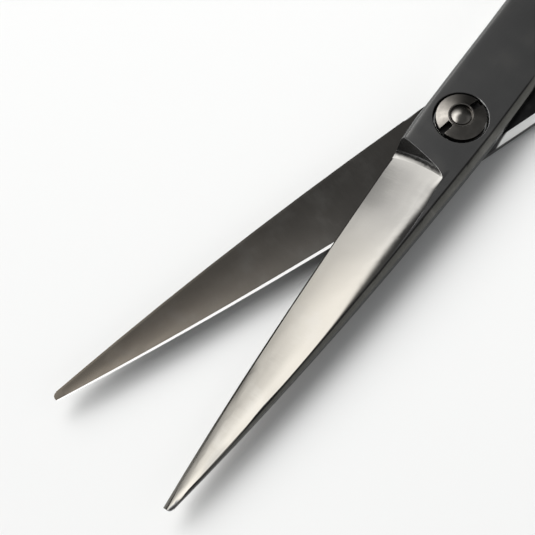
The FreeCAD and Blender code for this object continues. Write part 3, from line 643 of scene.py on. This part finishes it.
def bumper(node, body, degrees, finish):
    """Rubber stop: a flanged button with a moulded groove round it and a dished, rounded end."""
    low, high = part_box(node)
    half = (high - low) / 2
    turn = math.radians(degrees)
    radius = half.z
    length = 2 * (half.y - radius * math.sin(turn)) / math.cos(turn)
    axis = Vector((-math.sin(turn), -math.cos(turn), 0))
    beside = Vector((math.cos(turn), -math.sin(turn), 0))
    seat = (low + high) / 2 - axis * length / 2
    grid = []
    for along, out in BUMPER_SHAPE:
        row = []
        for index in range(BUMPER_SIDES):
            angle = 2 * math.pi * index / BUMPER_SIDES
            spoke = beside * math.cos(angle) + Vector((0, 0, math.sin(angle)))
            row.append(seat + axis * length * along + spoke * radius * out)
        grid.append(row)
    piece = mesh_piece(node + "_rubber", grid, False, finish, body)
    rounding = piece.modifiers.new("rounding", "SUBSURF")
    rounding.levels = rounding.render_levels = 2
    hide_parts(node)


def flexing_spring():
    """A copy of the wave spring's mesh, shown in place of the imported one."""
    source = nodes["wave_spring"]
    spring = bpy.data.objects.new("wave_spring_flexing", source.data.copy())
    scene.collection.objects.link(spring)
    spring.matrix_world = source.matrix_world.copy()
    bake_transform(spring)
    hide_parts("wave_spring")


# ---------------------------------------------------------------- finishes on the pieces
pivot_steel = turned_steel("pivot_steel_turned", (0.166, 0.158, 0.146), 0.20, 0.28)
nut_steel = turned_steel("nut_steel_turned", (0.168, 0.158, 0.145), 0.17, 0.24, RIDE_HEIGHT + 3.35)
spring_steel = formed_metal("spring_steel_rolled", (0.45, 0.44, 0.42), 0.25, 0.38, 3.0, 0.002)
bearing_steel = turned_steel("bearing_steel_ground", (0.62, 0.62, 0.61), 0.08, 0.18)
bronze = turned_steel("bronze_bush", (0.60, 0.36, 0.17), 0.24, 0.38)
rest_steel = formed_metal("rest_steel_polished", (0.17, 0.168, 0.163), 0.20, 0.32, 2.4, 0.003)
glide_plastic = moulded("glide_plastic_washer", (0.60, 0.58, 0.52), 0.45, 5.0, 0.004, 0.0)
liner_rubber = moulded("liner_rubber_moulded", (0.018, 0.018, 0.019), 0.62, 4.0, 0.02, 0.15)
bumper_rubber = moulded("bumper_rubber_moulded", (0.022, 0.021, 0.021), 0.58, 5.0, 0.015, 0.15)

FINISHES = {
    "finger_blade": member_steel("finger_member_steel", REST_OPENING / 2, True),
    "thumb_blade": member_steel("thumb_member_steel", -REST_OPENING / 2, False),
    "pivot_stud": pivot_steel,
    "tension_nut": nut_steel,
    "click_washer": spring_steel,
    "wave_spring": spring_steel,
    "upper_race": bearing_steel,
    "lower_race": bearing_steel,
    "bearing_balls": bearing_steel,
    "ball_cage": bronze,
    "pivot_bush": bronze,
    "glide_washer": glide_plastic,
    "finger_rest": rest_steel,
    "bumper_pin": rest_steel,
}
for node, finish in FINISHES.items():
    nodes[node].data.materials.clear()
    nodes[node].data.materials.append(finish)


flexing_spring()
liner("thumb_ring_insert", "thumb_member", REST_OPENING / 2, liner_rubber)
liner("finger_ring_insert", "finger_member", -REST_OPENING / 2, liner_rubber)
bumper("bumper_pad", "finger_member", REST_OPENING / 2, bumper_rubber)


# ---------------------------------------------------------------- bench, light and camera
def bench():
    """Plain pale bench top under the shears, with painted light falloff: its whiteness drops away from the
    softbox.
    """
    bpy.ops.mesh.primitive_plane_add(size=6.0, location=(0, 0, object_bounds()[0][2]))
    top = bpy.context.object
    top.name = "bench_top"
    made, shader, surface, place = material("bench_white")
    mottle = shader.noise(place, 6.0, 2.0)
    x, y, _ = shader.parts(place)
    # Painted light falloff: the whiteness drops towards +X and +Y, away from the softbox, within its least
    # and most.
    fall = ((x + y) * -BENCH_FALL + BENCH_WHITE).math("MAXIMUM", BENCH_LEAST).math("MINIMUM", BENCH_MOST)
    white = fall + mottle.between(-0.004, 0.004)
    shader.put(shader.vector(white * 0.995, white, white * 0.998), surface.inputs["Base Color"])
    shader.put(mottle.between(0.6, 0.7), surface.inputs["Roughness"])
    surface.inputs["Specular IOR Level"].default_value = 0.2
    top.data.materials.append(made)


def studio_light():
    """Dark surroundings with one large softbox, which fades out towards its borders."""
    world = bpy.data.worlds.new("studio")
    scene.world = world
    world.use_nodes = True
    shader = Shader(world.node_tree)
    towards = shader.nodes.new("ShaderNodeTexCoord").outputs["Generated"]
    x, y, z = shader.parts(towards)
    degrees = 180 / math.pi
    round_from = x.math("ARCTAN2", y * -1) * degrees
    height = z.math("ARCSINE") * degrees
    box = round_from.step(*SOFTBOX_LEFT) * round_from.step(*SOFTBOX_RIGHT)
    box = box * height.step(*SOFTBOX_BOTTOM) * height.step(*SOFTBOX_TOP)
    glow = [n for n in shader.nodes if n.type == "BACKGROUND"][0]
    glow.inputs["Color"].default_value = (1.0, 0.995, 0.985, 1.0)
    shader.put(box * SOFTBOX_RADIANCE, glow.inputs["Strength"])
    room = shader.nodes.new("ShaderNodeBackground")
    room.inputs["Color"].default_value = (0.98, 0.99, 1.0, 1.0)
    wall = round_from.size().step(*WALL_SIDES) * height.step(*WALL_BOTTOM) * height.step(*WALL_TOP)
    dim = height.step(5.0, 75.0).between(*ROOM_RADIANCE) + wall * WALL_RADIANCE
    shader.put(dim, room.inputs["Strength"])
    both = shader.nodes.new("ShaderNodeAddShader")
    shader.links.new(glow.outputs[0], both.inputs[0])
    shader.links.new(room.outputs[0], both.inputs[1])
    shader.links.new(both.outputs[0], shader.nodes["World Output"].inputs["Surface"])


def camera():
    azimuth, elevation = math.radians(VIEW_AZIMUTH), math.radians(VIEW_ELEVATION)
    back = Vector((
        math.sin(azimuth) * math.cos(elevation),
        -math.cos(azimuth) * math.cos(elevation),
        math.sin(elevation),
    ))
    turn = back.to_track_quat("Z", "Y").to_matrix().to_4x4()
    lens = bpy.data.cameras.new("camera")
    lens.sensor_width = SENSOR
    lens.lens = LENS
    lens.clip_start = 1 * MM
    made = bpy.data.objects.new("camera", lens)
    scene.collection.objects.link(made)
    roll = Matrix.Rotation(math.radians(VIEW_ROLL), 4, "Z")
    made.matrix_world = Matrix.Translation(VIEW_TARGET + back * VIEW_DISTANCE) @ turn @ roll
    scene.camera = made


bench()
studio_light()
camera()
scene.view_settings.view_transform = "Standard"
